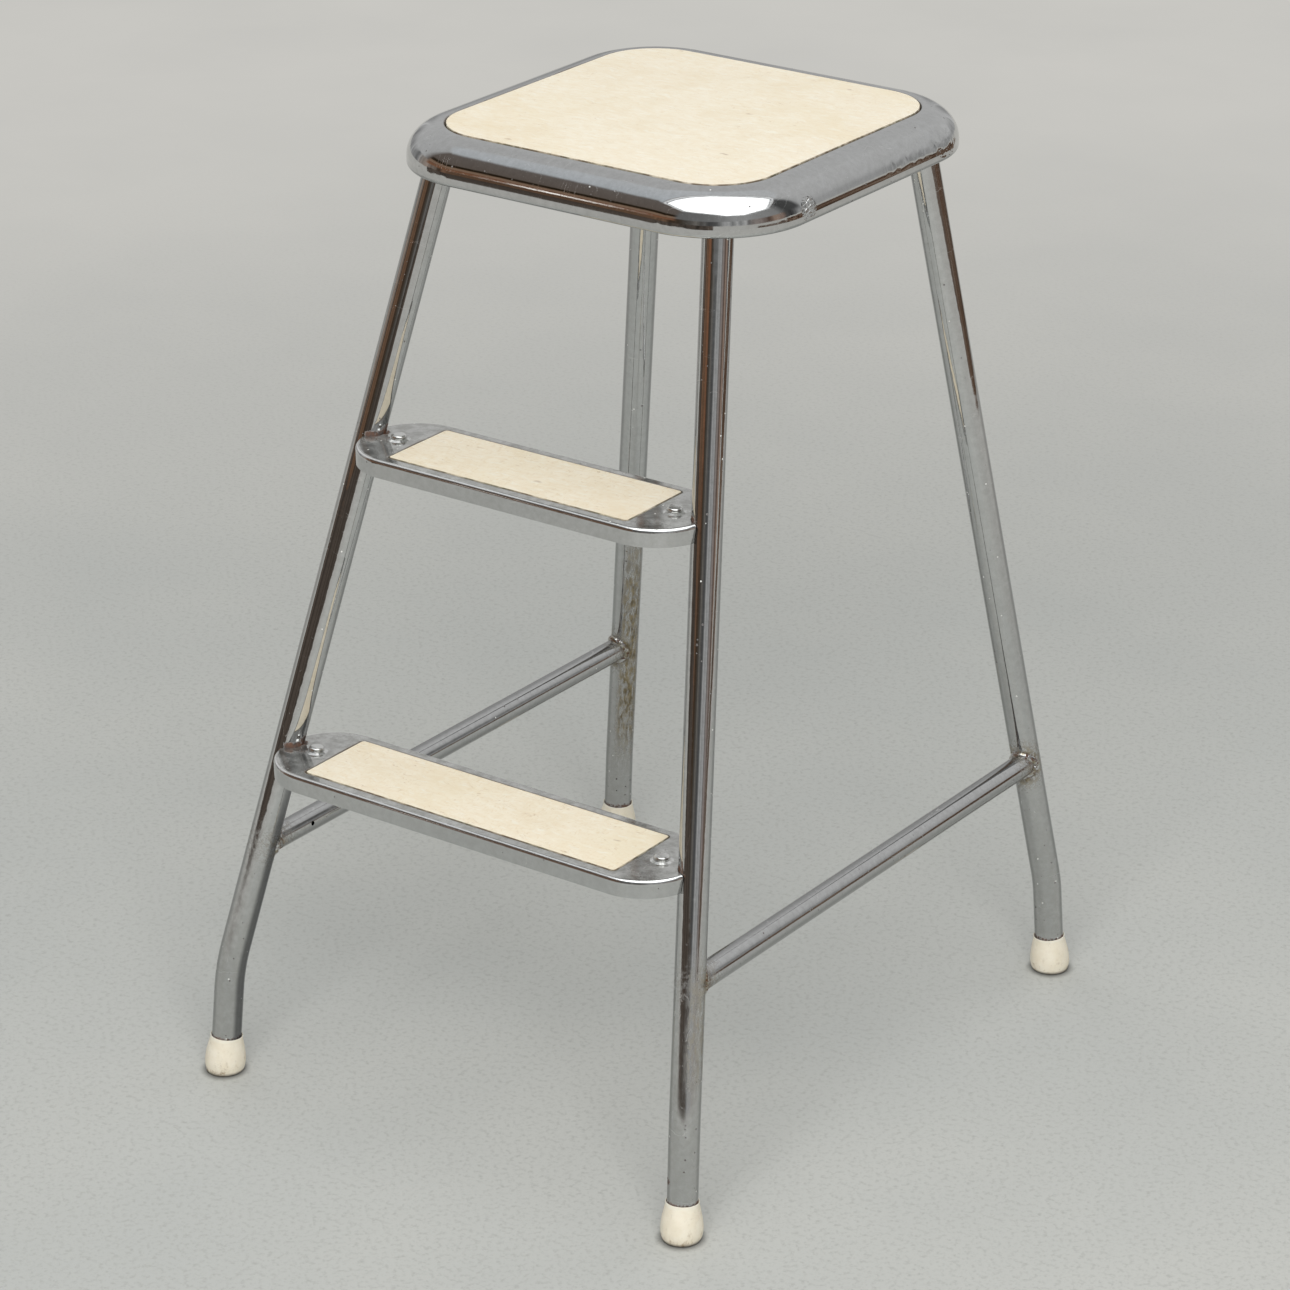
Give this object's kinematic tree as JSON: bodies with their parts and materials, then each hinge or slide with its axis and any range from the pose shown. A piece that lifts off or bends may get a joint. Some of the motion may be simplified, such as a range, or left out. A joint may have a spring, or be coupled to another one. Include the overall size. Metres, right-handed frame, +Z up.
{
  "type": "step stool",
  "caption": "Chromed tubular step stool with a rounded square seat, narrow inlaid treads between splayed front legs, side rails and rubber ferrules.",
  "frame": {"origin": "centre of the footprint on the floor, which is the centre of the bottom of the bounding box", "axes": "+Z up, +Y from the tread side to the back, +X to the right of a person facing the treads, left and right mirror images about X = 0"},
  "size_m": [0.3864, 0.4566, 0.6076],
  "materials": {
    "chrome_tube": "bright chrome plate, worn, pitted near the floor, rust at the welds",
    "chrome_pan": "bright chrome plate with fine scratches",
    "laminate": "cream decorative laminate, faint mottling, satin",
    "ferrule_rubber": "aged cream rubber, matte",
    "hardboard": "brown hardboard",
    "plated_bar": "dull plated mild steel",
    "chrome_screw": "chrome plated plain domed head",
    "zinc_hardware": "zinc plated steel"
  },
  "bodies": {
    "root": {"foot_washers": "zinc_hardware", "front_crossbar": "plated_bar", "front_left_foot": "ferrule_rubber", "front_left_leg": "chrome_tube", "front_right_foot": "ferrule_rubber", "front_right_leg": "chrome_tube", "left_side_rail": "chrome_tube", "lower_left_lug": "plated_bar", "lower_right_lug": "plated_bar", "lower_tread_board": "hardboard", "lower_tread_laminate": "laminate", "lower_tread_pan": "chrome_pan", "lower_tread_screws": "chrome_screw", "rear_crossbar": "plated_bar", "rear_left_foot": "ferrule_rubber", "rear_left_leg": "chrome_tube", "rear_right_foot": "ferrule_rubber", "rear_right_leg": "chrome_tube", "right_side_rail": "chrome_tube", "seat_board": "hardboard", "seat_laminate": "laminate", "seat_nuts": "zinc_hardware", "seat_pan": "chrome_pan", "seat_studs": "zinc_hardware", "seat_washers": "zinc_hardware", "tread_nuts": "zinc_hardware", "tread_washers": "zinc_hardware", "upper_left_lug": "plated_bar", "upper_right_lug": "plated_bar", "upper_tread_board": "hardboard", "upper_tread_laminate": "laminate", "upper_tread_pan": "chrome_pan", "upper_tread_screws": "chrome_screw"}
  },
  "joints": []
}
